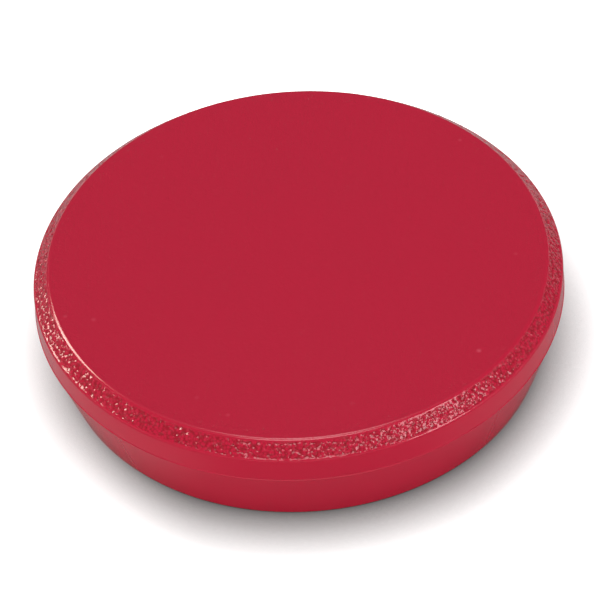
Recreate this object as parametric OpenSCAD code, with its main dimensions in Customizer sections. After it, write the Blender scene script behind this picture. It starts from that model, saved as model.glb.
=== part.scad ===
// Round holding magnet for a board: a moulded plastic cap over a pressed ferrite disc.
// The origin is the centre of the foot, and +Z is the axis, up through the flat top.

/* [Cap outside] */
// Diameter of the upright band, the widest place
cap_d = 32; // [24:0.5:50]
// How far the foot stands in under the band, all round
undercut = 1.5; // [0.6:0.1:2.5]
// Height of the upright band
band_h = 1.55; // [0.8:0.05:2]
// Height and width of the chamfer round the top
chamfer = 0.95; // [0.5:0.05:1.4]
// Fillet between the flat top and the chamfer
crown_r = 0.3; // [0.1:0.05:0.6]
// Fillet between the chamfer and the band
rim_r = 0.25; // [0.1:0.05:0.5]
// Fillet where the band turns into the taper
shoulder_r = 0.15; // [0.05:0.05:0.4]
// Fillet round the outside of the foot
foot_r = 0.2; // [0.1:0.05:0.4]

/* [Ferrite disc] */
// Thickness of the disc
disc_t = 5; // [4:0.25:8]
// Ground chamfer round both faces of the disc
disc_edge = 0.25; // [0.1:0.05:0.6]

/* [Pocket] */
// Wall of the cap above the disc
top_wall = 1.6; // [1:0.1:3]
// Wall of the cap round the pocket, at the foot
foot_wall = 1.65; // [1.2:0.05:2.5]
// Height of the disc's lower face above the foot
face_recess = 0.2; // [0.1:0.05:0.5]
// Radial room between the disc and the pocket wall, at the foot
pocket_gap = 0.35; // [0.25:0.05:0.45]
// Draft of the pocket wall, in degrees
pocket_draft = 0.5; // [0.25:0.25:1]
// Fillet round the ceiling of the pocket
ceiling_r = 0.2; // [0.05:0.05:0.2]
// Chamfer round the mouth of the pocket
mouth_edge = 0.35; // [0.1:0.05:0.5]

/* [Crush ribs] */
// Number of ribs that grip the disc
rib_count = 6; // [3:1:16]
// Radius of the rounded ribs
rib_r = 0.6; // [0.55:0.05:0.8]
// Radial room between the ribs and the seated disc
rib_fit = 0.02; // [0.01:0.01:0.05]
// Height of the foot of each rib above the foot of the cap
rib_start = 0.9; // [0.6:0.1:1.5]
// Height over which each rib grows to its full size
rib_ramp = 1; // [0.5:0.1:1.5]
// Room above the ribs, for what the disc shaves off them
rib_stop = 0.5; // [0.3:0.1:0.6]

/* [Gate] */
// Diameter of the well in the ceiling that clears the gate stub
well_d = 6; // [4:0.5:9]
// Depth of the well
well_h = 0.4; // [0.3:0.05:0.6]
// Diameter of the gate stub
gate_d = 1.6; // [1:0.1:2.5]
// Length of the gate stub
gate_h = 0.25; // [0.1:0.05:0.25]

/* [Hidden] */
$fn = 180;

// A cutter runs past the face that it opens, and the stub is rooted in its wall, by this much
past = 0.5;

// Radii, from the outside in: the disc takes the room that the walls leave, 25 mm across here
cap_r = cap_d / 2;
base_r = cap_r - undercut;
pocket_foot_r = base_r - foot_wall;
disc_r = pocket_foot_r - pocket_gap;

// Heights, from the foot up
seat_z = face_recess + disc_t;
cap_h = seat_z + top_wall;
rim_z = cap_h - chamfer;
shoulder_z = rim_z - band_h;

// The pocket draws in a little towards its ceiling
pocket_top_r = pocket_foot_r - seat_z * tan(pocket_draft);

// Axis of a rib, its radius where it is flush with the pocket wall, and its full height
rib_axis_r = disc_r + rib_fit + rib_r;
rib_flush_r = rib_axis_r - pocket_foot_r;
rib_h = seat_z - rib_stop - rib_start;

// Outside corners of the cap's half section, from the foot to the top
foot = [base_r, 0];
shoulder = [cap_r, shoulder_z];
rim = [cap_r, rim_z];
crown = [cap_r - chamfer, cap_h];

// Corners of the pocket's half section, from the mouth to the ceiling
mouth = [pocket_foot_r + mouth_edge + past, -past];
mouth_top = [pocket_foot_r - mouth_edge * tan(pocket_draft), mouth_edge];
ceiling = [pocket_top_r, seat_z];

function unit(v) = v / norm(v);

// What a round of radius r takes off a corner, tangent to the sides towards its two neighbours
module corner_round(before, corner, after, r) {
    to_before = unit(before - corner);
    to_after = unit(after - corner);
    half_angle = acos(to_before * to_after) / 2;
    reach = r / tan(half_angle);
    centre = corner + unit(to_before + to_after) * r / sin(half_angle);
    difference() {
        polygon([
            corner + to_before * reach,
            corner + (corner - centre),
            corner + to_after * reach,
            centre
        ]);
        translate(centre) circle(r = r);
    }
}

// Half section of the cap's outside
module cap_section() {
    difference() {
        polygon([[0, 0], foot, shoulder, rim, crown, [0, cap_h]]);
        corner_round([0, 0], foot, shoulder, foot_r);
        corner_round(foot, shoulder, rim, shoulder_r);
        corner_round(shoulder, rim, crown, rim_r);
        corner_round(rim, crown, [0, cap_h], crown_r);
    }
}

// Half section of the pocket
module pocket_section() {
    difference() {
        polygon([[0, -past], mouth, mouth_top, ceiling, [0, seat_z]]);
        corner_round(mouth_top, ceiling, [0, seat_z], ceiling_r);
    }
}

// One crush rib: flush with the pocket wall at its foot, and growing inwards as it climbs
module crush_rib() {
    translate([rib_axis_r, 0, rib_start]) {
        cylinder(h = rib_ramp, r1 = rib_flush_r, r2 = rib_r);
        translate([0, 0, rib_ramp]) cylinder(h = rib_h - rib_ramp, r = rib_r);
    }
}

// Well in the ceiling, where the moulding was fed
module gate_well() {
    translate([0, 0, seat_z - past]) cylinder(h = past + well_h, d = well_d);
}

// Stub that was left when the feed broke off
module gate_stub() {
    translate([0, 0, seat_z + well_h - gate_h]) cylinder(h = gate_h + past, d = gate_d);
}

// Moulded cap
module cap() {
    color([0.71, 0.13, 0.22]) {
        difference() {
            rotate_extrude() cap_section();
            rotate_extrude() pocket_section();
            gate_well();
        }
        for (i = [0 : rib_count - 1]) rotate(i * 360 / rib_count) crush_rib();
        gate_stub();
    }
}

// Sintered disc, seated on the ceiling of the pocket
module ferrite_disc() {
    color([0.16, 0.16, 0.17])
    translate([0, 0, face_recess])
    rotate_extrude()
    polygon([
        [0, 0],
        [disc_r - disc_edge, 0],
        [disc_r, disc_edge],
        [disc_r, disc_t - disc_edge],
        [disc_r - disc_edge, disc_t],
        [0, disc_t]
    ]);
}

cap();
ferrite_disc();
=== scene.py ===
# %% [markdown]
# # A disc magnet, dressed for its picture
#
# The object is a small round magnet for an office board: a red moulded cap, 32 mm across, with a
# ferrite disc pressed into a pocket in its underside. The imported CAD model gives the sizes, the place
# and the two bodies of material. This script makes the surfaces that the eye reads: true round edges,
# the spark grain that the mould leaves on the chamfer, and the chipped, ground face of the ferrite.
#
# Everything is in metres, +Z is up, and the origin is the centre of the foot.

import math

import bpy
from mathutils import Matrix, Vector


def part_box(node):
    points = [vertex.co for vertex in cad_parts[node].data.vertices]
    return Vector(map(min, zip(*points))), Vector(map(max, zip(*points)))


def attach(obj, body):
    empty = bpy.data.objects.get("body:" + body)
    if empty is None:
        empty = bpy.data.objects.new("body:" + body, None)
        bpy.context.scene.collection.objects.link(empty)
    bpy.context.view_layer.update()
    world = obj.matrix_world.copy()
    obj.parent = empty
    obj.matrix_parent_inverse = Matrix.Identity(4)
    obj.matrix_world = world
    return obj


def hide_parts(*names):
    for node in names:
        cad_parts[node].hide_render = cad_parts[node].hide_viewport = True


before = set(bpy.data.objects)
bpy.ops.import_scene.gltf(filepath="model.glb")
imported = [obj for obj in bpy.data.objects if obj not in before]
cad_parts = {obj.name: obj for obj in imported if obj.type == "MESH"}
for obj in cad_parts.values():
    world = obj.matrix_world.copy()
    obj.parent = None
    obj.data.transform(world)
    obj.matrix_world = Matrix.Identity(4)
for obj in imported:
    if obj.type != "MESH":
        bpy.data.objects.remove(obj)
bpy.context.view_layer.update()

MM = 0.001
scene = bpy.context.scene
scene.view_settings.view_transform = "Standard"
cap_low, cap_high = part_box("cap")
disc_low, disc_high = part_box("ferrite_disc")
print("cap, mm:", [round(v / MM, 2) for v in cap_high - cap_low])
print("ferrite disc, mm:", [round(v / MM, 2) for v in disc_high - disc_low])

# %% [markdown]
# ## The camera
#
# The circles of the cap show as ellipses, and their flatness gives the angle of view: about 45 degrees
# above the table. The picture is also turned by 4 degrees, so the right side sits higher. The far rim is
# hardly smaller than the near one, which asks for a long lens from some way off.

# %% Place the camera
VIEW_ELEVATION = math.radians(44.74)
VIEW_ROLL = math.radians(4.06)
VIEW_DISTANCE = 400 * MM
VIEW_WIDTH = 36.57 * MM
VIEW_AIM = Vector((0, 1.74 * MM, 1.75 * MM))
SENSOR_WIDTH = 36
NEAREST = 10 * MM

camera = bpy.data.objects.new("camera", bpy.data.cameras.new("camera"))
scene.collection.objects.link(camera)
camera.location = VIEW_DISTANCE * Vector((0, -math.cos(VIEW_ELEVATION), math.sin(VIEW_ELEVATION)))
looking = (VIEW_AIM - camera.location).to_track_quat("-Z", "Y").to_matrix()
camera.rotation_euler = (looking @ Matrix.Rotation(-VIEW_ROLL, 3, "Z")).to_euler()
camera.data.sensor_width = SENSOR_WIDTH
camera.data.lens = SENSOR_WIDTH * VIEW_DISTANCE / VIEW_WIDTH
camera.data.clip_start = NEAREST
scene.camera = camera
print("lens, mm:", round(camera.data.lens, 1))

# %% [markdown]
# ## Helpers for node trees
#
# Materials, the world and Geometry Nodes are all trees of nodes. Five small helpers keep the trees
# below readable: one adds a node, one fills a socket, one does a step of arithmetic, one makes a soft
# step from 0 to 1, and one splits a vector into its three numbers.

# %% Node helpers
def node(tree, kind, **settings):
    """Adds a node and sets its properties."""
    made = tree.nodes.new(kind)
    for key, value in settings.items():
        setattr(made, key, value)
    return made


def feed(tree, socket, value):
    """Links an output to the socket, or sets the socket to a plain value."""
    if isinstance(value, bpy.types.NodeSocket):
        tree.links.new(value, socket)
    else:
        socket.default_value = value


def calc(tree, operation, first, second=0.0, third=0.0):
    """One step of arithmetic. Each operand is a number or an output socket."""
    made = node(tree, "ShaderNodeMath", operation=operation)
    for socket, value in zip(made.inputs, (first, second, third)):
        feed(tree, socket, value)
    return made.outputs[0]


def ramp(tree, value, low, high):
    """0 below low, 1 above high, and smooth between them. low may be the larger one."""
    made = node(tree, "ShaderNodeMapRange", interpolation_type="SMOOTHSTEP")
    for name, number in (("Value", value), ("From Min", low), ("From Max", high)):
        feed(tree, made.inputs[name], number)
    return made.outputs["Result"]


def split(tree, value):
    """The three numbers of a vector."""
    made = node(tree, "ShaderNodeSeparateXYZ")
    feed(tree, made.inputs[0], value)
    return made.outputs


# %% [markdown]
# ## The floor
#
# The ground is plain white, with a short soft shadow that hugs the magnet. The sheet is painted off
# white and also glows, but only for the camera's rays, so the glow puts no light on the cap.

# %% Sheet for the floor
FLOOR_SIZE = 3.0

half = FLOOR_SIZE / 2
floor_corners = [(-half, -half, 0), (half, -half, 0), (half, half, 0), (-half, half, 0)]
floor_mesh = bpy.data.meshes.new("floor")
floor_mesh.from_pydata(floor_corners, [], [(0, 1, 2, 3)])
floor = bpy.data.objects.new("floor", floor_mesh)
scene.collection.objects.link(floor)
print("floor, m:", FLOOR_SIZE)

# %% [markdown]
# ### Shadow
#
# Ambient Occlusion tells how much of the sky a spot of the floor can see. It holds the glow back close
# to the wall, a little more in the narrow line of contact, and it dims the paint over a wider ring. The
# shadow in the photograph lets up on both sides, more on the left, so the shade is weaker there. None
# of this dims the light that bounces up to the cap.

# %% How the floor is shaded
SHADE_REACH = 7 * MM
SHADE_POWER = 1.9
CONTACT_REACH = 0.7 * MM
CONTACT_POWER = 0.25
GLOOM_REACH = 14 * MM
GLOOM_POWER = 2.3
LEFT_CLEAR = 0.35
RIGHT_CLEAR = 0.13
LEFT_FROM, LEFT_TO = -6 * MM, -14 * MM
RIGHT_FROM, RIGHT_TO = 8.5 * MM, 15 * MM
AO_SAMPLES = 16


def openness(tree, reach, power):
    """1 in the open, and less where something within reach covers the spot."""
    cover = node(tree, "ShaderNodeAmbientOcclusion", samples=AO_SAMPLES)
    cover.inputs["Distance"].default_value = reach
    return calc(tree, "POWER", cover.outputs["AO"], power)


paper = bpy.data.materials.new("white_ground")
paper.use_nodes = True
ground = paper.node_tree
ground.nodes.clear()
floor_rays = node(ground, "ShaderNodeLightPath")
spot = node(ground, "ShaderNodeTexCoord").outputs["Object"]
floor_x, floor_y, _ = split(ground, spot)
to_left = ramp(ground, floor_x, LEFT_FROM, LEFT_TO)
to_right = ramp(ground, floor_x, RIGHT_FROM, RIGHT_TO)
strength = calc(ground, "MULTIPLY_ADD", to_left, -LEFT_CLEAR, 1)
strength = calc(ground, "MULTIPLY_ADD", to_right, -RIGHT_CLEAR, strength)
contact = openness(ground, CONTACT_REACH, CONTACT_POWER)
shade = calc(ground, "MULTIPLY", openness(ground, SHADE_REACH, SHADE_POWER), contact)
shade = calc(ground, "POWER", shade, strength)
gloom = calc(ground, "POWER", openness(ground, GLOOM_REACH, GLOOM_POWER), strength)
gloom = calc(ground, "MAXIMUM", gloom, calc(ground, "SUBTRACT", 1, floor_rays.outputs["Is Camera Ray"]))
print("shadow reaches, mm:", [round(v / MM, 1) for v in (CONTACT_REACH, SHADE_REACH, GLOOM_REACH)])

# %% [markdown]
# ### What the wall mirrors
#
# The glossy wall mirrors the floor. In the photograph it mirrors a dark floor in front, a paler one on
# the left and the right, and the chamfer mirrors a bright one behind. So the paint has its own share of
# brightness for glossy rays, and the share depends on the place.

# %% Paint and glow
FLOOR_COLOUR = 0.85
FLOOR_GLOW = 1.10
FRONT_MIRROR = 0.25
LEFT_MIRROR = 0.55
RIGHT_MIRROR = 0.45
BACK_MIRROR = 0.90
FAR_FROM, FAR_TO = 18.5 * MM, 27 * MM
BACK_FROM, BACK_TO = 12 * MM, 30 * MM

from_middle = node(ground, "ShaderNodeVectorMath", operation="LENGTH")
feed(ground, from_middle.inputs[0], spot)
close_by = ramp(ground, from_middle.outputs["Value"], FAR_TO, FAR_FROM)
side_share = calc(ground, "MULTIPLY", to_left, LEFT_MIRROR - FRONT_MIRROR)
side_share = calc(ground, "MULTIPLY_ADD", to_right, RIGHT_MIRROR - FRONT_MIRROR, side_share)
mirror_share = calc(ground, "MULTIPLY_ADD", side_share, close_by, FRONT_MIRROR - 1)
behind = ramp(ground, floor_y, BACK_FROM, BACK_TO)
mirror_share = calc(ground, "MULTIPLY_ADD", behind, BACK_MIRROR - FRONT_MIRROR, mirror_share)
mirror = calc(ground, "MULTIPLY_ADD", floor_rays.outputs["Is Glossy Ray"], mirror_share, 1)
paint = node(ground, "ShaderNodeBsdfDiffuse")
painted = calc(ground, "MULTIPLY", calc(ground, "MULTIPLY", gloom, mirror), FLOOR_COLOUR)
feed(ground, paint.inputs["Color"], painted)
glow = node(ground, "ShaderNodeEmission")
seen = calc(ground, "MULTIPLY", floor_rays.outputs["Is Camera Ray"], FLOOR_GLOW)
feed(ground, glow.inputs["Strength"], calc(ground, "MULTIPLY", seen, shade))
both = node(ground, "ShaderNodeAddShader")
feed(ground, both.inputs[0], paint.outputs[0])
feed(ground, both.inputs[1], glow.outputs[0])
feed(ground, node(ground, "ShaderNodeOutputMaterial").inputs["Surface"], both.outputs[0])
floor_mesh.materials.append(paper)
print("floor's share in reflections, front and back:", FRONT_MIRROR, BACK_MIRROR)

# %% [markdown]
# ## Room and lamps
#
# The glints say where the lamps stood. A shiny slope shows a lamp only where its normal points halfway
# between the lamp and the eye, so each bright place on the chamfer and on the round above it gives one
# direction. The room is dim, with paler walls low in front, which light the side of the cap. For the
# camera the world is plain white.

# %% Room
ROOM_LEVEL = 0.37
HORIZON_LEVEL = 0.22
WALL_LEVEL = 0.95
WALL_TOP = math.radians(25)
WALL_EDGE = 0.2
FRONT_FROM, FRONT_TO = 0.4, -0.2
DUSK_FROM, DUSK_TO = 0.1, 0.6

world = bpy.data.worlds.new("room")
scene.world = world
world.use_nodes = True
sky = world.node_tree
sky.nodes.clear()
_, away, up = split(sky, node(sky, "ShaderNodeTexCoord").outputs["Generated"])
in_front = ramp(sky, away, FRONT_FROM, FRONT_TO)
low_down = ramp(sky, up, math.sin(WALL_TOP), math.sin(WALL_TOP) - WALL_EDGE)
wall = calc(sky, "MULTIPLY", in_front, low_down)
dusk = ramp(sky, up, DUSK_FROM, DUSK_TO)
dusk = calc(sky, "MULTIPLY_ADD", dusk, ROOM_LEVEL - HORIZON_LEVEL, HORIZON_LEVEL)
room_light = calc(sky, "MULTIPLY_ADD", wall, WALL_LEVEL - HORIZON_LEVEL, dusk)
to_camera = node(sky, "ShaderNodeLightPath").outputs["Is Camera Ray"]
backdrop = node(sky, "ShaderNodeBackground")
feed(sky, backdrop.inputs["Strength"], calc(sky, "MAXIMUM", to_camera, room_light))
feed(sky, node(sky, "ShaderNodeOutputWorld").inputs["Surface"], backdrop.outputs[0])
print("room level:", ROOM_LEVEL, "front walls:", WALL_LEVEL)

# %% [markdown]
# ### Lamps
#
# The lamps come in two sets. The glints show only in the gloss: a broad one behind to the left draws the
# bright line on the left of the crown, a small one low on the left and one at the right front light up
# the grain, and two overhead draw the fine line along the front of the crown. These two leave a gap
# straight above, so that the flat top stays red in a view from above. No glint stands where the flat
# top would mirror it for this camera. The fills light only the colour: a large one overhead for the flat
# top, and low ones in front, on the left and on the right for the wall. The lamps on the left and in
# front are a little warm.

# %% Set up the lamps
LAMP_DISTANCE = 0.5
WHITE = (1, 1, 1)
WARM = (1, 0.97, 0.82)


def softbox(name, azimuth, elevation, size, level, colour=WHITE):
    """An oval soft lamp facing the magnet. level is the light that a sheet held square to it gets,
    where 1 renders a white sheet as plain white. Azimuth 0 is +X, 90 is away from the camera."""
    lamp = bpy.data.lights.new(name, "AREA")
    lamp.shape = "ELLIPSE"
    lamp.size, lamp.size_y = size
    lamp.energy = level * math.pi ** 2 * LAMP_DISTANCE ** 2
    lamp.color = colour
    holder = bpy.data.objects.new(name, lamp)
    scene.collection.objects.link(holder)
    turn, rise = math.radians(azimuth), math.radians(elevation)
    way = Vector((math.cos(turn) * math.cos(rise), math.sin(turn) * math.cos(rise), math.sin(rise)))
    holder.location = way * LAMP_DISTANCE
    holder.rotation_euler = way.to_track_quat("Z", "Y").to_euler()
    return holder


glints = [
    softbox("glint_behind", 144, 41, (0.24, 0.17), 0.62, WARM),
    softbox("glint_left", 152, 26, (0.13, 0.13), 0.30, WARM),
    softbox("glint_right", -38, 30, (0.22, 0.22), 0.34),
    softbox("glint_over_front", -90, 72, (0.30, 0.22), 0.31),
    softbox("glint_over_back", 90, 72, (0.15, 0.22), 0.15),
]
fills = [
    softbox("fill_above", 180, 88, (0.60, 0.60), 0.94),
    softbox("fill_front", -90, 9, (0.50, 0.14), 0.25, WARM),
    softbox("fill_left", 190, 9, (0.40, 0.14), 0.33, WARM),
    softbox("fill_right", -10, 9, (0.40, 0.14), 0.36),
]
for lamp in glints:
    lamp.visible_diffuse = False
for lamp in fills:
    lamp.visible_glossy = False
print("glint lamps:", len(glints), "fill lamps:", len(fills))

# %% [markdown]
# ## The cap's section
#
# The cap is a body of revolution, so one half section describes it: flat top, 45 degree chamfer, short
# upright band, a taper that leaves room for a finger nail, the foot, and the pocket. Each corner gets a
# true round, because it is the rounds that catch the light. The section is a list of points from the
# middle of the top, out and down, and back in through the pocket to the well that clears the gate.

# %% Sizes of the cap
CAP_R = cap_high.x
CAP_H = cap_high.z
CHAMFER = 0.95 * MM
BAND_H = 1.55 * MM
UNDERCUT = 1.5 * MM
FOOT_WALL = 1.65 * MM
CROWN_R = 0.3 * MM
RIM_R = 0.25 * MM
FOOT_R = 0.2 * MM
MOUTH_EDGE = 0.35 * MM
CEILING_R = 0.2 * MM
CHAMFER_ANGLE = math.radians(45)
POCKET_DRAFT = math.radians(0.5)
WELL_R = 3 * MM
WELL_H = 0.4 * MM
GATE_R = 0.8 * MM
GATE_H = 0.25 * MM

RIM_Z = CAP_H - CHAMFER
SHOULDER_Z = RIM_Z - BAND_H
SEAT_Z = disc_high.z
FOOT_OUT_R = CAP_R - UNDERCUT
MOUTH_R = FOOT_OUT_R - FOOT_WALL
DISC_R = disc_high.x
print("pocket is wider than the disc by, mm:", round((MOUTH_R - DISC_R) / MM, 3))


# %% Points of a section
HOLD = 0.04 * MM


def arc(before, corner, after, radius, steps):
    """Points of a round that is tangent to both sides of a corner."""
    before, corner, after = Vector(before), Vector(corner), Vector(after)
    one, two = (before - corner).normalized(), (after - corner).normalized()
    half_angle = one.angle(two) / 2
    centre = corner + (one + two).normalized() * radius / math.sin(half_angle)
    reach = radius / math.tan(half_angle)
    start = (corner + one * reach - centre).normalized()
    end = (corner + two * reach - centre).normalized()
    return [centre + start.slerp(end, k / steps) * radius for k in range(steps + 1)]


def span(start, end, step):
    """Points about a step apart between two others, with both of them left out."""
    start, end = Vector(start), Vector(end)
    count = max(1, round((end - start).length / step))
    return [start.lerp(end, k / count) for k in range(1, count)]


def held(start, end):
    """A point just inside each end of a straight side, which keeps the shading of the side flat."""
    way = (end - start).normalized() * HOLD
    return [start + way, end - way]


# %% [markdown]
# ### The parting line
#
# The two halves of the mould meet at the shoulder, below the upright band, and leave a fine thread of
# plastic all round. In the photograph it is the thin light line between the band and the taper.

# %% Points of the parting line
PARTING_W = 0.060 * MM
PARTING_H = 0.031 * MM

rim = Vector((CAP_R, RIM_Z))
shoulder = Vector((CAP_R, SHOULDER_Z))
foot = Vector((FOOT_OUT_R, 0))
up_side = (rim - shoulder).normalized()
down_side = (foot - shoulder).normalized()
parting = [shoulder + up_side * PARTING_W, shoulder - (up_side + down_side).normalized() * PARTING_H,
           shoulder + down_side * PARTING_W]
print("parting line stands out to, mm:", round(parting[1].x / MM, 3))

# %% Section of the cap
GRAIN_STEP = 0.058 * MM
CROWN_STEPS = 6
RIM_STEPS = 4
FOOT_STEPS = 4
CEILING_STEPS = 5

top_middle = Vector((0, CAP_H))
crown = Vector((CAP_R - CHAMFER, CAP_H))
mouth = Vector((MOUTH_R + MOUTH_EDGE, 0))
mouth_top = Vector((MOUTH_R, MOUTH_EDGE))
ceiling = Vector((MOUTH_R - SEAT_Z * math.tan(POCKET_DRAFT), SEAT_Z))
well_top = SEAT_Z + WELL_H
gate_tip = well_top - GATE_H

crown_round = arc(top_middle, crown, rim, CROWN_R, CROWN_STEPS)
rim_round = arc(crown, rim, shoulder, RIM_R, RIM_STEPS)
foot_round = arc(shoulder, foot, mouth, FOOT_R, FOOT_STEPS)
cap_line = [top_middle]
cap_line += held(top_middle, crown_round[0])
cap_line += crown_round
cap_line += span(crown_round[-1], rim_round[0], GRAIN_STEP)
cap_line += rim_round
cap_line += held(rim_round[-1], parting[0])
cap_line += parting
cap_line += held(parting[-1], foot_round[0])
cap_line += foot_round
cap_line += [mouth, mouth_top]
cap_line += arc(mouth_top, ceiling, (0, SEAT_Z), CEILING_R, CEILING_STEPS)
cap_line += [Vector((WELL_R, SEAT_Z)), Vector((WELL_R, well_top)), Vector((GATE_R, well_top))]
cap_line += [Vector((GATE_R, gate_tip)), Vector((0, gate_tip))]
print("points in the cap's section:", len(cap_line))

# %% [markdown]
# ## Turning a section
#
# Blender's Spin tool could turn the section, and so could a Screw modifier. Geometry Nodes do it here,
# because the same tree can then work on the skin: it lays out a grid with one row for each point of
# the section, bends the grid round the axis, and closes the seam and the poles by merging their points.

# %% Tools for Geometry Nodes
def new_tree(name, inputs):
    """An empty Geometry Nodes tree with named inputs. Returns the tree and its input node."""
    tree = bpy.data.node_groups.new(name, "GeometryNodeTree")
    tree.interface.new_socket("Geometry", in_out="OUTPUT", socket_type="NodeSocketGeometry")
    tree.interface.new_socket("Geometry", in_out="INPUT", socket_type="NodeSocketGeometry")
    for label, kind in inputs:
        tree.interface.new_socket(label, in_out="INPUT", socket_type=kind)
    return tree, node(tree, "NodeGroupInput")


def vector(tree, x, y, z):
    """Joins three numbers into a vector."""
    made = node(tree, "ShaderNodeCombineXYZ")
    for socket, value in zip(made.inputs, (x, y, z)):
        feed(tree, socket, value)
    return made.outputs[0]


def radius_of(tree, position):
    """Distance from the axis, and height."""
    x, y, z = split(tree, position)
    squares = calc(tree, "ADD", calc(tree, "MULTIPLY", x, x), calc(tree, "MULTIPLY", y, y))
    return calc(tree, "SQRT", squares), z


# %% Turning, raising and joining
WELD = 0.0005 * MM


def turned(tree, line, segments):
    """Turns a line of points in the XZ plane once round Z, into a closed skin."""
    size = node(tree, "GeometryNodeAttributeDomainSize", component="MESH")
    feed(tree, size.inputs[0], line)
    rows = size.outputs["Point Count"]
    grid = node(tree, "GeometryNodeMeshGrid")
    feed(tree, grid.inputs["Vertices X"], calc(tree, "ADD", segments, 1))
    feed(tree, grid.inputs["Vertices Y"], rows)
    index = node(tree, "GeometryNodeInputIndex").outputs[0]
    column = calc(tree, "FLOOR", calc(tree, "DIVIDE", calc(tree, "ADD", index, 0.5), rows))
    row = calc(tree, "SUBTRACT", index, calc(tree, "MULTIPLY", column, rows))
    where = node(tree, "GeometryNodeSampleIndex", data_type="FLOAT_VECTOR")
    feed(tree, where.inputs["Geometry"], line)
    feed(tree, where.inputs["Value"], node(tree, "GeometryNodeInputPosition").outputs[0])
    feed(tree, where.inputs["Index"], row)
    out, _, up = split(tree, where.outputs[0])
    share = calc(tree, "FRACT", calc(tree, "DIVIDE", column, segments))
    angle = calc(tree, "MULTIPLY", share, 2 * math.pi)
    x = calc(tree, "MULTIPLY", out, calc(tree, "COSINE", angle))
    y = calc(tree, "MULTIPLY", out, calc(tree, "SINE", angle))
    place = node(tree, "GeometryNodeSetPosition")
    feed(tree, place.inputs["Geometry"], grid.outputs["Mesh"])
    feed(tree, place.inputs["Position"], vector(tree, x, y, up))
    weld = node(tree, "GeometryNodeMergeByDistance")
    feed(tree, weld.inputs["Geometry"], place.outputs[0])
    feed(tree, weld.inputs["Distance"], WELD)
    outward = node(tree, "GeometryNodeFlipFaces")
    feed(tree, outward.inputs[0], weld.outputs[0])
    return outward.outputs[0]


def raised(tree, skin, height):
    """Moves each point of a skin out along its normal."""
    push = node(tree, "GeometryNodeSetPosition")
    feed(tree, push.inputs["Geometry"], skin)
    way = node(tree, "ShaderNodeVectorMath", operation="SCALE")
    feed(tree, way.inputs[0], node(tree, "GeometryNodeInputNormal").outputs[0])
    feed(tree, way.inputs["Scale"], height)
    feed(tree, push.inputs["Offset"], way.outputs[0])
    return push.outputs[0]


def ends_in(tree, parts, material):
    """Joins the parts, makes them real and gives them their material."""
    join = node(tree, "GeometryNodeJoinGeometry")
    for part in parts:
        tree.links.new(part, join.inputs[0])
    real = node(tree, "GeometryNodeRealizeInstances")
    feed(tree, real.inputs[0], join.outputs[0])
    finish = node(tree, "GeometryNodeSetMaterial")
    feed(tree, finish.inputs["Geometry"], real.outputs[0])
    feed(tree, finish.inputs["Material"], material)
    feed(tree, node(tree, "NodeGroupOutput").inputs[0], finish.outputs[0])


# %% Running a tree
SHARP = math.radians(25)


def made_by(name, line, tree, inputs):
    """Runs a tree on a line of points in the XZ plane and returns the finished mesh object."""
    sketch_mesh = bpy.data.meshes.new(name + "_section")
    edges = [(k, k + 1) for k in range(len(line) - 1)]
    sketch_mesh.from_pydata([(p.x, 0, p.y) for p in line], edges, [])
    sketch = bpy.data.objects.new(name + "_section", sketch_mesh)
    scene.collection.objects.link(sketch)
    modifier = sketch.modifiers.new("form", "NODES")
    modifier.node_group = tree
    for item in tree.interface.items_tree:
        if item.in_out == "INPUT" and item.name in inputs:
            modifier[item.identifier] = inputs[item.name]
    depsgraph = bpy.context.evaluated_depsgraph_get()
    mesh = bpy.data.meshes.new_from_object(sketch.evaluated_get(depsgraph))
    bpy.data.objects.remove(sketch)
    mesh.name = name
    mesh.shade_smooth()
    mesh.set_sharp_from_angle(angle=SHARP)
    piece = bpy.data.objects.new(name, mesh)
    scene.collection.objects.link(piece)
    print(name, "triangles:", sum(len(face.vertices) - 2 for face in mesh.polygons))
    return piece


# %% [markdown]
# ## The spark grain
#
# The mould for the cap was burnt out by sparks, and each spark left a tiny crater. On the moulding the
# craters stand out as low domes, packed side by side and each leaning its own way, so each shows its
# own small glint. The grain is strong on the chamfer, faint on the flat top, and gone on the rounds and
# on the wall, which the mould maker polished. The coarse domes are in the mesh, so the chamfer has a
# truly rough surface. The finer ones on top of them are bump in the material.

# %% Where the grain is
GRAIN_FADE = 0.08 * MM
ROUND_REACH = math.tan(CHAMFER_ANGLE / 2)
CROWN_IN = CAP_R - CHAMFER - CROWN_R * ROUND_REACH
CROWN_OUT = CAP_R - CHAMFER + CROWN_R * ROUND_REACH * math.cos(CHAMFER_ANGLE)
RIM_UP = RIM_Z + RIM_R * ROUND_REACH * math.sin(CHAMFER_ANGLE)


def chamfer_share(tree, position):
    """1 on the chamfer, 0 elsewhere, and soft at the rounds on either side."""
    radius, height = radius_of(tree, position)
    outside = ramp(tree, radius, CROWN_OUT, CROWN_OUT + GRAIN_FADE)
    return calc(tree, "MULTIPLY", outside, ramp(tree, height, RIM_UP, RIM_UP + GRAIN_FADE))


# %% Domes of the grain
COARSE_GRAIN = 0.33 * MM
COARSE_BULGE = 0.10
COARSE_LEAN = 0.10
GRAIN_SEED = 7 * MM


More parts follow.
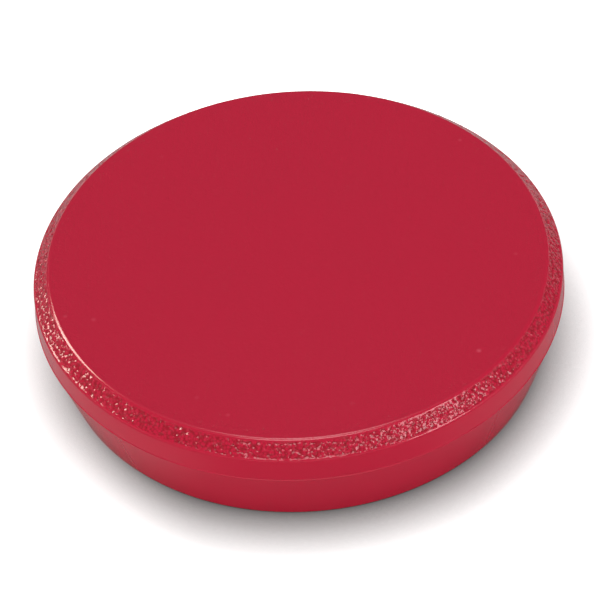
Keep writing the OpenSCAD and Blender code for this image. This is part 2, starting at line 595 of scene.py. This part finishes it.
def domes(tree, position, size, bulge, lean, seed=0):
    """Height of packed low domes, each leaning its own way. bulge and lean are slopes."""
    shifted = node(tree, "ShaderNodeVectorMath", operation="ADD")
    feed(tree, shifted.inputs[0], position)
    feed(tree, shifted.inputs[1], vector(tree, seed, seed, seed))
    cells = node(tree, "ShaderNodeTexVoronoi", feature="F1", distance="EUCLIDEAN")
    feed(tree, cells.inputs["Vector"], shifted.outputs[0])
    feed(tree, cells.inputs["Scale"], calc(tree, "DIVIDE", 1.0, size))
    reach = calc(tree, "MINIMUM", cells.outputs["Distance"], 1.0)
    drop = calc(tree, "MULTIPLY", size, -bulge)
    dome = calc(tree, "MULTIPLY", calc(tree, "MULTIPLY", reach, reach), drop)
    away = node(tree, "ShaderNodeVectorMath", operation="SUBTRACT")
    feed(tree, away.inputs[0], shifted.outputs[0])
    feed(tree, away.inputs[1], cells.outputs["Position"])
    slope = node(tree, "ShaderNodeVectorMath", operation="MULTIPLY_ADD")
    feed(tree, slope.inputs[0], cells.outputs["Color"])
    slope.inputs[1].default_value = (2 * lean, 2 * lean, 2 * lean)
    slope.inputs[2].default_value = (-lean, -lean, -lean)
    tipped = node(tree, "ShaderNodeVectorMath", operation="DOT_PRODUCT")
    feed(tree, tipped.inputs[0], away.outputs[0])
    feed(tree, tipped.inputs[1], slope.outputs[0])
    return calc(tree, "ADD", dome, tipped.outputs["Value"])


# %% [markdown]
# ## The crush ribs
#
# Six upright ribs in the pocket grip the ferrite, which needs no glue. Each is a round post with a
# conical lead, so that the disc starts easily. One rib is made and set six times on a circle.

# %% Crush ribs
RIB_COUNT = 6
RIB_R = 0.6 * MM
RIB_FIT = 0.02 * MM
RIB_START = 0.9 * MM
RIB_RAMP = 1.0 * MM
RIB_STOP = 0.5 * MM
RIB_SIDES = 32
RIB_AXIS_R = DISC_R + RIB_FIT + RIB_R
RIB_FLUSH_R = RIB_AXIS_R - MOUTH_R
RIB_LENGTH = SEAT_Z - RIB_STOP - RIB_START - RIB_RAMP


def crush_ribs(tree, count, radius, length):
    """A ring of ribs: a post on a cone, instanced on the points of a circle."""
    post = node(tree, "GeometryNodeMeshCylinder")
    post.inputs["Vertices"].default_value = RIB_SIDES
    feed(tree, post.inputs["Radius"], radius)
    feed(tree, post.inputs["Depth"], length)
    lift = node(tree, "GeometryNodeTransform")
    feed(tree, lift.inputs["Geometry"], post.outputs["Mesh"])
    middle = calc(tree, "MULTIPLY_ADD", length, 0.5, RIB_START + RIB_RAMP)
    feed(tree, lift.inputs["Translation"], vector(tree, 0, 0, middle))
    lead = node(tree, "GeometryNodeMeshCone")
    lead.inputs["Vertices"].default_value = RIB_SIDES
    feed(tree, lead.inputs["Radius Top"], radius)
    lead.inputs["Radius Bottom"].default_value = RIB_FLUSH_R
    lead.inputs["Depth"].default_value = RIB_RAMP
    lead_lift = node(tree, "GeometryNodeTransform")
    feed(tree, lead_lift.inputs["Geometry"], lead.outputs["Mesh"])
    lead_lift.inputs["Translation"].default_value = (0, 0, RIB_START)
    rib = node(tree, "GeometryNodeJoinGeometry")
    tree.links.new(lift.outputs[0], rib.inputs[0])
    tree.links.new(lead_lift.outputs[0], rib.inputs[0])
    ring = node(tree, "GeometryNodeMeshCircle")
    feed(tree, ring.inputs["Vertices"], count)
    ring.inputs["Radius"].default_value = RIB_AXIS_R
    ribs = node(tree, "GeometryNodeInstanceOnPoints")
    feed(tree, ribs.inputs["Points"], ring.outputs["Mesh"])
    feed(tree, ribs.inputs["Instance"], rib.outputs[0])
    return ribs.outputs[0]


# %% Tree for the cap
def cap_tree():
    """Turned section, spark grain on its chamfer, and the crush ribs in the pocket."""
    tree, given = new_tree("cap_form", [
        ("Segments", "NodeSocketInt"),
        ("Grain size", "NodeSocketFloat"),
        ("Grain seed", "NodeSocketFloat"),
        ("Rib count", "NodeSocketInt"),
        ("Rib radius", "NodeSocketFloat"),
        ("Rib length", "NodeSocketFloat"),
        ("Material", "NodeSocketMaterial"),
    ])
    skin = turned(tree, given.outputs["Geometry"], given.outputs["Segments"])
    position = node(tree, "GeometryNodeInputPosition").outputs[0]
    size, seed = given.outputs["Grain size"], given.outputs["Grain seed"]
    relief = domes(tree, position, size, COARSE_BULGE, COARSE_LEAN, seed)
    skin = raised(tree, skin, calc(tree, "MULTIPLY", relief, chamfer_share(tree, position)))
    rib_sizes = [given.outputs[name] for name in ("Rib count", "Rib radius", "Rib length")]
    ribs = crush_ribs(tree, *rib_sizes)
    ends_in(tree, [skin, ribs], given.outputs["Material"])
    return tree


# %% [markdown]
# ## The red moulding
#
# The plastic is a deep crimson, coloured right through and glossy. A crimson pigment throws back
# almost no green, so its colour has nearly none, and the little green that the eye sees comes off the
# surface as reflection. The gloss changes a trace from place to place, as it does where the melt cooled
# unevenly.

# %% Noise and mixing
def cloud(tree, position, size, detail=3):
    """Soft noise of a given size, from 0 to 1."""
    noise = node(tree, "ShaderNodeTexNoise")
    feed(tree, noise.inputs["Vector"], position)
    noise.inputs["Scale"].default_value = 1 / size
    noise.inputs["Detail"].default_value = detail
    return noise.outputs[0]


def mixed(tree, share, first, second):
    """A colour between two colours."""
    made = node(tree, "ShaderNodeMix", data_type="RGBA")
    feed(tree, made.inputs["Factor"], share)
    feed(tree, made.inputs[6], first)
    feed(tree, made.inputs[7], second)
    return made.outputs[2]


# %% [markdown]
# ### Painted crease shade, and dots
#
# The chamfer's colour holds painted shade and painted light: it is darker between the domes of the
# grain and lighter on top of them, where the plastic shades itself. The flat top has only a breath of
# the grain, a little more of it near its edge, and a few dots there, each the bump of a single spark
# with its glint painted on as a paler pink.

# %% Where the creases and dots are
FLAT_GRAIN = 0.10
RING_GRAIN = 0.25
RING_W = 1.2 * MM
FINE_GRAIN = 0.19 * MM
CREASE_FROM, CREASE_TO = 0.2, 0.8
STRAY_CELL = 1.5 * MM
STRAY_SIZE = 0.24 * MM
STRAY_RING = 3.0 * MM
STRAY_SHARE = 0.6


def flat_share(tree, position):
    """How strong the grain is on the flat top: faint, and a little stronger near its edge."""
    radius, height = radius_of(tree, position)
    inside = ramp(tree, radius, CROWN_IN, CROWN_IN - 2 * GRAIN_FADE)
    on_top = calc(tree, "GREATER_THAN", height, CAP_H - CHAMFER / 2)
    ring = ramp(tree, radius, CROWN_IN - RING_W, CROWN_IN)
    strength = calc(tree, "MULTIPLY_ADD", ring, RING_GRAIN - FLAT_GRAIN, FLAT_GRAIN)
    return calc(tree, "MULTIPLY", calc(tree, "MULTIPLY", inside, on_top), strength)


def spark_bumps_and_glints(tree, position):
    """A few dots on the flat top near its edge, bumps with a painted glint: 1 in each middle, 0 between.
    """
    radius, height = radius_of(tree, position)
    cells = node(tree, "ShaderNodeTexVoronoi", feature="F1", distance="EUCLIDEAN")
    feed(tree, cells.inputs["Vector"], position)
    cells.inputs["Scale"].default_value = 1 / STRAY_CELL
    dot = ramp(tree, cells.outputs["Distance"], STRAY_SIZE / STRAY_CELL, 0)
    picked = calc(tree, "GREATER_THAN", split(tree, cells.outputs["Color"])[0], STRAY_SHARE)
    near = ramp(tree, radius, CROWN_IN - STRAY_RING, CROWN_IN - STRAY_SIZE)
    inside = calc(tree, "LESS_THAN", radius, CROWN_IN - STRAY_SIZE)
    on_top = calc(tree, "GREATER_THAN", height, CAP_H - CHAMFER / 2)
    chosen = calc(tree, "MULTIPLY", picked, calc(tree, "MULTIPLY", inside, on_top))
    return calc(tree, "MULTIPLY", calc(tree, "MULTIPLY", dot, chosen), near)


def crease_shade(tree, position):
    """Where the painted shade falls: 1 deep between the fine domes, and 0 on top of them."""
    cells = node(tree, "ShaderNodeTexVoronoi", feature="F1", distance="EUCLIDEAN")
    feed(tree, cells.inputs["Vector"], position)
    cells.inputs["Scale"].default_value = 1 / FINE_GRAIN
    return ramp(tree, cells.outputs["Distance"], CREASE_FROM, CREASE_TO)


# %% Material of the cap
RED = (0.420, 0.0050, 0.030, 1)
DEEP_RED = (0.400, 0.0044, 0.028, 1)
# Painted light on the domes of the grain, and painted shade between them.
DOME_LIT_RED = (0.440, 0.0055, 0.033, 1)
CREASE_SHADE_RED = (0.280, 0.0026, 0.015, 1)
# Paler pink painted on the spark dots as their glint: a painted highlight.
STRAY_GLINT_PINK = (0.560, 0.060, 0.100, 1)
GLOSS = (0.13, 0.19)
CLOUD = 5 * MM
FINE_BULGE = 0.12
FINE_LEAN = 0.10
STRAY_HEIGHT = 0.020 * MM
PLASTIC_IOR = 1.5
PLASTIC_SPECULAR = 0.45


def red_moulding():
    """Glossy crimson plastic, with the finer grain as bump."""
    made = bpy.data.materials.new("red_moulding")
    made.use_nodes = True
    tree = made.node_tree
    shader = tree.nodes["Principled BSDF"]
    shader.inputs["IOR"].default_value = PLASTIC_IOR
    shader.inputs["Specular IOR Level"].default_value = PLASTIC_SPECULAR
    position = node(tree, "ShaderNodeTexCoord").outputs["Object"]
    mottle = cloud(tree, position, CLOUD)
    smooth = mixed(tree, mottle, RED, DEEP_RED)
    # The grain colour is painted shade between the domes and painted light on top of them.
    grain = mixed(tree, crease_shade(tree, position), DOME_LIT_RED, CREASE_SHADE_RED)
    # The dots are real bumps in the relief, and their paler colour is a painted glint.
    dots = spark_bumps_and_glints(tree, position)
    body = mixed(tree, chamfer_share(tree, position), smooth, grain)
    feed(tree, shader.inputs["Base Color"], mixed(tree, dots, body, STRAY_GLINT_PINK))
    gloss = calc(tree, "MULTIPLY_ADD", mottle, GLOSS[1] - GLOSS[0], GLOSS[0])
    feed(tree, shader.inputs["Roughness"], gloss)
    faint = flat_share(tree, position)
    coarse = domes(tree, position, COARSE_GRAIN, COARSE_BULGE, COARSE_LEAN)
    coarse = calc(tree, "MULTIPLY", coarse, faint)
    grained = calc(tree, "ADD", faint, chamfer_share(tree, position))
    fine = domes(tree, position, FINE_GRAIN, FINE_BULGE, FINE_LEAN)
    fine = calc(tree, "MULTIPLY", fine, grained)
    bump = node(tree, "ShaderNodeBump")
    bump.inputs["Distance"].default_value = 1.0
    relief = calc(tree, "MULTIPLY_ADD", dots, STRAY_HEIGHT, calc(tree, "ADD", coarse, fine))
    feed(tree, bump.inputs["Height"], relief)
    feed(tree, shader.inputs["Normal"], bump.outputs[0])
    return made


# %% Make the cap
SEGMENTS = 1600

moulded_cap = made_by("moulded_cap", cap_line, cap_tree(), {
    "Segments": SEGMENTS,
    "Grain size": COARSE_GRAIN,
    "Grain seed": GRAIN_SEED,
    "Rib count": RIB_COUNT,
    "Rib radius": RIB_R,
    "Rib length": RIB_LENGTH,
    "Material": red_moulding(),
})
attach(moulded_cap, "root")
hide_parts("cap")

# %% [markdown]
# ## The ferrite disc
#
# The magnet is a sintered ceramic: powder pressed to a disc, fired, and ground flat on both faces. It is
# charcoal grey and brittle, so its edges always carry small chips. The disc is another turned section,
# and noise bites the chips out of its edges. It shows only from below, down in the pocket.

# %% Section of the ferrite disc
DISC_EDGE = 0.25 * MM
DISC_STEP = 0.12 * MM
DISC_RIM = 1.5 * MM

disc_top, disc_foot = disc_high.z, disc_low.z
half_height = (disc_top - disc_foot) / 2
disc_corners = [(0, disc_top), (DISC_R - DISC_RIM, disc_top), (DISC_R - DISC_EDGE, disc_top),
                (DISC_R, disc_top - DISC_EDGE), (DISC_R, disc_foot + DISC_EDGE),
                (DISC_R - DISC_EDGE, disc_foot), (DISC_R - DISC_RIM, disc_foot), (0, disc_foot)]
disc_line = [Vector(disc_corners[0])]
for start, end in zip(disc_corners, disc_corners[1:]):
    fine = 0 not in (start[0], end[0])
    disc_line += span(start, end, DISC_STEP if fine else DISC_R) + [Vector(end)]
print("points in the disc's section:", len(disc_line))

# %% Tree for the ferrite disc
CHIP_SIZE = 1.3 * MM
CHIP_DEPTH = 0.22 * MM
CHIP_REACH = 0.55 * MM
CHIP_FROM, CHIP_TO = 0.56, 0.70


def from_middle_plane(tree, height):
    """Distance above or below the middle of the disc's thickness."""
    return calc(tree, "ABSOLUTE", calc(tree, "SUBTRACT", height, (disc_top + disc_foot) / 2))


def disc_tree():
    """Turned section, with chips bitten out of both edges."""
    tree, given = new_tree("disc_form", [
        ("Segments", "NodeSocketInt"),
        ("Chip size", "NodeSocketFloat"),
        ("Chip depth", "NodeSocketFloat"),
        ("Chip seed", "NodeSocketFloat"),
        ("Material", "NodeSocketMaterial"),
    ])
    skin = turned(tree, given.outputs["Geometry"], given.outputs["Segments"])
    position = node(tree, "GeometryNodeInputPosition").outputs[0]
    radius, height = radius_of(tree, position)
    off_middle = from_middle_plane(tree, height)
    at_rim = ramp(tree, radius, DISC_R - CHIP_REACH, DISC_R - DISC_EDGE)
    at_face = ramp(tree, off_middle, half_height - CHIP_REACH, half_height - DISC_EDGE)
    noise = node(tree, "ShaderNodeTexNoise", noise_dimensions="4D")
    feed(tree, noise.inputs["Vector"], position)
    feed(tree, noise.inputs["W"], given.outputs["Chip seed"])
    feed(tree, noise.inputs["Scale"], calc(tree, "DIVIDE", 1.0, given.outputs["Chip size"]))
    bitten = ramp(tree, noise.outputs[0], CHIP_FROM, CHIP_TO)
    bite = calc(tree, "MULTIPLY", calc(tree, "MULTIPLY", at_rim, at_face), bitten)
    inward = calc(tree, "MULTIPLY", given.outputs["Chip depth"], -1.0)
    skin = raised(tree, skin, calc(tree, "MULTIPLY", bite, inward))
    ends_in(tree, [skin], given.outputs["Material"])
    return tree


# %% Material of the ferrite
CHARCOAL = (0.040, 0.041, 0.044, 1)
ASH = (0.064, 0.065, 0.068, 1)
PORE_SHADE = (0.012, 0.012, 0.013, 1)
PORE_CELL = 0.45 * MM
PORE_SIZE = 0.16
PORE_DEPTH = 0.03 * MM
MOTTLE = 0.6 * MM
MOTTLE_DETAIL = 6
MOTTLE_FROM, MOTTLE_TO = 0.35, 0.7
DULLNESS = (0.35, 0.60)
GRIND_PITCH = 0.05 * MM
GRIND_LENGTH = 60
GRIND_DETAIL = 2
GRIND_DEPTH = 0.008 * MM
FACE_DEPTH = 0.01 * MM


def ground_ferrite():
    """Charcoal ceramic: mottled, pitted with painted shade in the pores, and scored one way on its
    ground faces.
    """
    made = bpy.data.materials.new("ground_ferrite")
    made.use_nodes = True
    tree = made.node_tree
    shader = tree.nodes["Principled BSDF"]
    position = node(tree, "ShaderNodeTexCoord").outputs["Object"]
    mottle = cloud(tree, position, MOTTLE, MOTTLE_DETAIL)
    body = mixed(tree, ramp(tree, mottle, MOTTLE_FROM, MOTTLE_TO), CHARCOAL, ASH)
    # The pores are pits in the bump, and their darker colour is painted shade.
    cells = node(tree, "ShaderNodeTexVoronoi", feature="F1", distance="EUCLIDEAN")
    feed(tree, cells.inputs["Vector"], position)
    cells.inputs["Scale"].default_value = 1 / PORE_CELL
    width = calc(tree, "MULTIPLY", split(tree, cells.outputs["Color"])[0], PORE_SIZE)
    pore_pits_and_shade = ramp(tree, cells.outputs["Distance"], width, 0)
    feed(tree, shader.inputs["Base Color"], mixed(tree, pore_pits_and_shade, body, PORE_SHADE))
    dull = calc(tree, "MULTIPLY_ADD", mottle, DULLNESS[1] - DULLNESS[0], DULLNESS[0])
    feed(tree, shader.inputs["Roughness"], dull)
    stretch = node(tree, "ShaderNodeMapping")
    feed(tree, stretch.inputs["Vector"], position)
    stretch.inputs["Scale"].default_value = (1 / GRIND_LENGTH, 1, 1)
    scores = cloud(tree, stretch.outputs[0], GRIND_PITCH, GRIND_DETAIL)
    _, height = radius_of(tree, position)
    on_face = calc(tree, "GREATER_THAN", from_middle_plane(tree, height), half_height - FACE_DEPTH)
    scored = calc(tree, "MULTIPLY", calc(tree, "MULTIPLY", scores, on_face), GRIND_DEPTH)
    pitted = calc(tree, "MULTIPLY", pore_pits_and_shade, -PORE_DEPTH)
    bump = node(tree, "ShaderNodeBump")
    bump.inputs["Distance"].default_value = 1.0
    feed(tree, bump.inputs["Height"], calc(tree, "ADD", scored, pitted))
    feed(tree, shader.inputs["Normal"], bump.outputs[0])
    return made


# %% Make the ferrite disc
DISC_SEGMENTS = 480
CHIP_SEED = 5.0

pressed_disc = made_by("pressed_disc", disc_line, disc_tree(), {
    "Segments": DISC_SEGMENTS,
    "Chip size": CHIP_SIZE,
    "Chip depth": CHIP_DEPTH,
    "Chip seed": CHIP_SEED,
    "Material": ground_ferrite(),
})
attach(pressed_disc, "root")
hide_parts("ferrite_disc")
